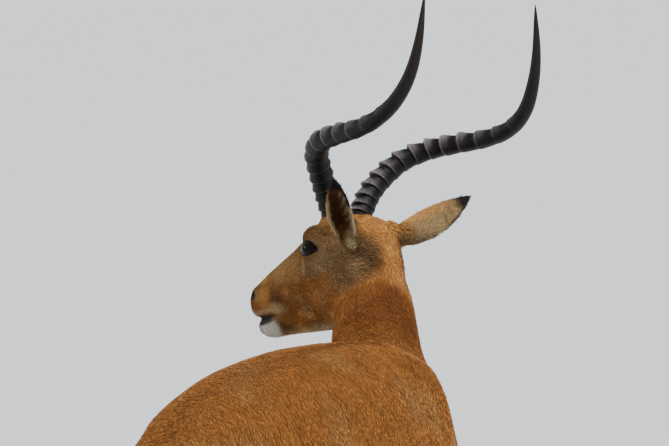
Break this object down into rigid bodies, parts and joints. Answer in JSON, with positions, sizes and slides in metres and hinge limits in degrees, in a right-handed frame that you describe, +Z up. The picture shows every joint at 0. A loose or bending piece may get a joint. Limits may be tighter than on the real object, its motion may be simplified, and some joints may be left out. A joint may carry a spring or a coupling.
{
  "type": "impala antelope",
  "caption": "Life-size impala ram standing with its head turned to its left, short reddish coat, ringed lyre-shaped horns and cloven hooves.",
  "frame": {"origin": "bottom centre of the bounding box, on the floor under the ram", "axes": "+Z up, -Y the way the body faces, +X the ram's left"},
  "size_m": [0.5382, 1.3006, 1.4021],
  "materials": {
    "coat": "short reddish-brown hair, paler and white below, black tips and stripes",
    "horn": "dark ridged keratin, smoother towards the tips",
    "eye": "wet, glossy, nearly black brown",
    "hoof": "black keratin, dull"
  },
  "bodies": {
    "root": {"ear_left": "coat", "ear_right": "coat", "eye_left": "eye", "eye_right": "eye", "foreleg_left": "coat", "foreleg_right": "coat", "head": "coat", "hindleg_left": "coat", "hindleg_right": "coat", "hoof_foreleg_left_inner": "hoof", "hoof_foreleg_left_outer": "hoof", "hoof_foreleg_right_inner": "hoof", "hoof_foreleg_right_outer": "hoof", "hoof_hindleg_left_inner": "hoof", "hoof_hindleg_left_outer": "hoof", "hoof_hindleg_right_inner": "hoof", "hoof_hindleg_right_outer": "hoof", "horn_left": "horn", "horn_right": "horn", "neck": "coat", "tail": "coat", "trunk": "coat"}
  },
  "joints": []
}
